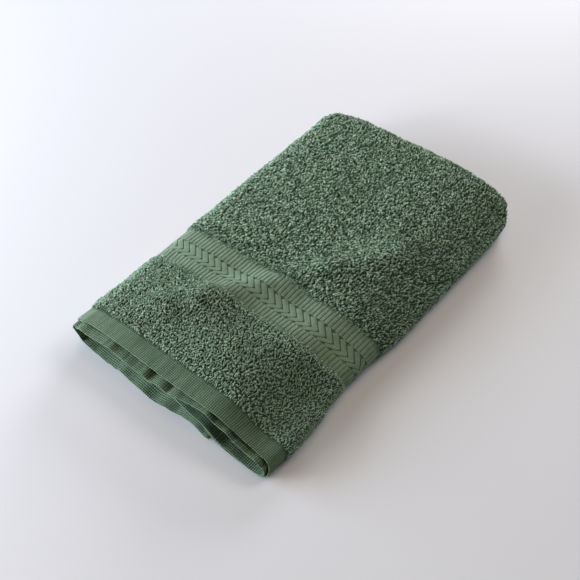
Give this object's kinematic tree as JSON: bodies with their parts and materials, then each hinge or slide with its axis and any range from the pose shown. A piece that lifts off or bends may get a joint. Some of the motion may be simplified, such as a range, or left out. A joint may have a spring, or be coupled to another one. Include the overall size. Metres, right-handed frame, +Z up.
{
  "type": "bath towel",
  "caption": "Terry bath towel folded into a flat pack, with flat hems at one end and a woven chevron border across it.",
  "frame": {"origin": "below the middle of the folded towel's box, on the surface it rests on", "axes": "+X across the folded width, +Y from the hem end to the far folds, +Z up"},
  "size_m": [0.2338, 0.378, 0.0396],
  "materials": {
    "terry": "looped cotton terry with flat-woven hem and border, matt"
  },
  "bodies": {
    "root": {"towel": "terry"}
  },
  "joints": []
}
